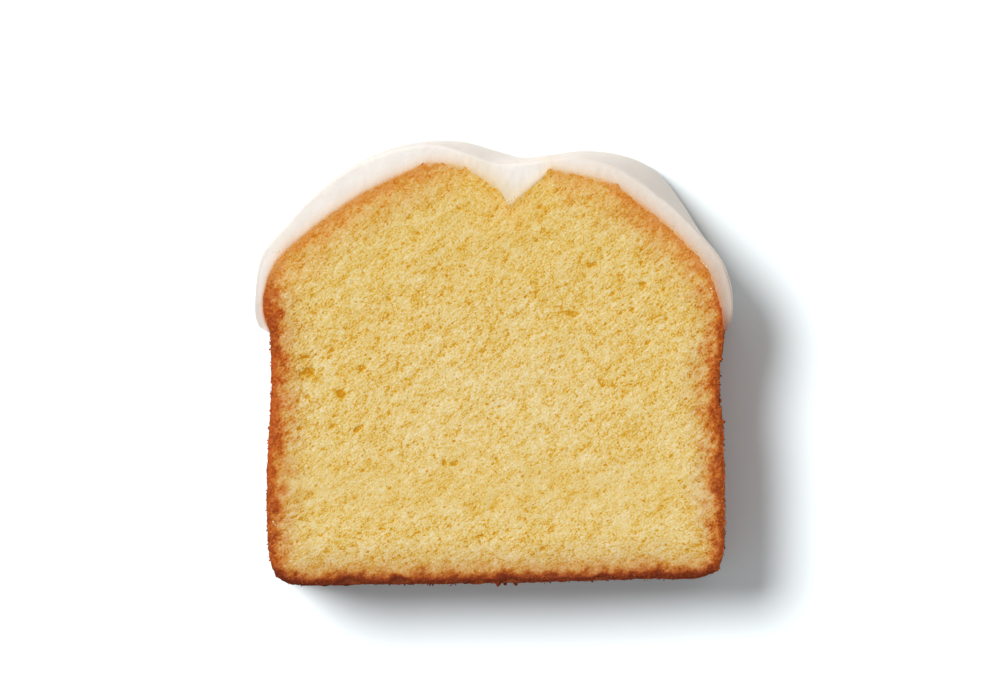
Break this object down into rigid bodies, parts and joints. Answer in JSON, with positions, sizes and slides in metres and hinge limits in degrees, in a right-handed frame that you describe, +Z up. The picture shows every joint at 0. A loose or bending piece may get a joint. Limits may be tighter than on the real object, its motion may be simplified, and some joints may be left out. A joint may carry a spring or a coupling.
{
  "type": "iced pound cake slice",
  "caption": "Thick slice of yellow pound cake from a tin loaf, with a browned crust and white icing over its cracked, domed top, lying flat on a cut face.",
  "frame": {"origin": "middle of the underside, the cut face that the slice rests on", "axes": "+Z up, along the length of the loaf that it was cut from; +X across the loaf; +Y from its bottom crust to its iced top"},
  "size_m": [0.1084, 0.1008, 0.025],
  "materials": {
    "crumb": "open, slightly moist yellow crumb, with a rough crust browned darkest along the bottom and the sides",
    "icing": "smooth set sugar icing, warm white, with a soft sheen and a little light passing through it"
  },
  "bodies": {
    "root": {"cake_slice": "crumb", "icing": "icing"}
  },
  "joints": []
}
